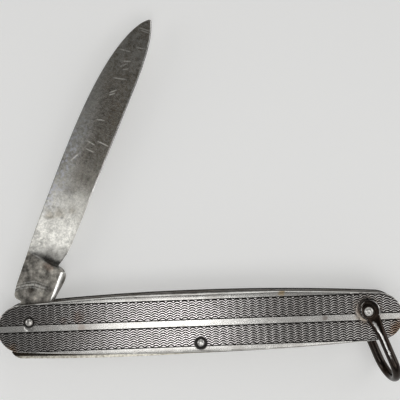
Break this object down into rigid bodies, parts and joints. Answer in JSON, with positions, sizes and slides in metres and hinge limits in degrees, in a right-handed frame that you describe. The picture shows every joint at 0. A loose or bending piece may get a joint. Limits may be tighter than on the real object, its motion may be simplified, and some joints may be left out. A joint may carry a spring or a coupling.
{
  "type": "folding pocket knife",
  "caption": "Slim folding pocket knife with a spear-point blade on a pivot pin, engine-turned metal scales, a back spring and a swinging bail for a chain.",
  "frame": {"origin": "middle of the rear scale's plain band, on its outer face", "axes": "+X along the handle towards the bail, +Y towards the side on which the blade opens, +Z through the handle towards the front scale"},
  "size_m": [0.0808, 0.075, 0.0098],
  "materials": {
    "scale_metal": "worn plate with an engine-turned wave",
    "liner_metal": "dull",
    "spring_steel": "aged, satin",
    "pin_steel": "peened and polished",
    "blade_steel": "ground, with a grey patina",
    "bail_steel": "dark, browned"
  },
  "bodies": {
    "handle": {"front_scale": "scale_metal", "rear_scale": "scale_metal", "front_liner": "liner_metal", "rear_liner": "liner_metal", "back_spring": "spring_steel", "end_spacer": "spring_steel", "main_pivot_pin": "pin_steel", "spring_pin": "pin_steel", "bail_rivet": "pin_steel", "front_bail_washer": "bail_steel", "rear_bail_washer": "bail_steel"},
    "blade": {"main_blade": "blade_steel"},
    "bail_ring": {"bail": "bail_steel"}
  },
  "joints": [
    {"name": "main_blade_fold", "type": "hinge", "parent": "handle", "child": "blade", "pos_m": [-0.034, 0.00125, 0.003], "axis": [0, 0, 1], "range_deg": [-67.4, 112.6]},
    {"name": "bail_swing", "type": "hinge", "parent": "handle", "child": "bail_ring", "pos_m": [0.0332, 0.00125, 0.003], "axis": [0, 0, 1], "range_deg": [-65, 210]}
  ]
}
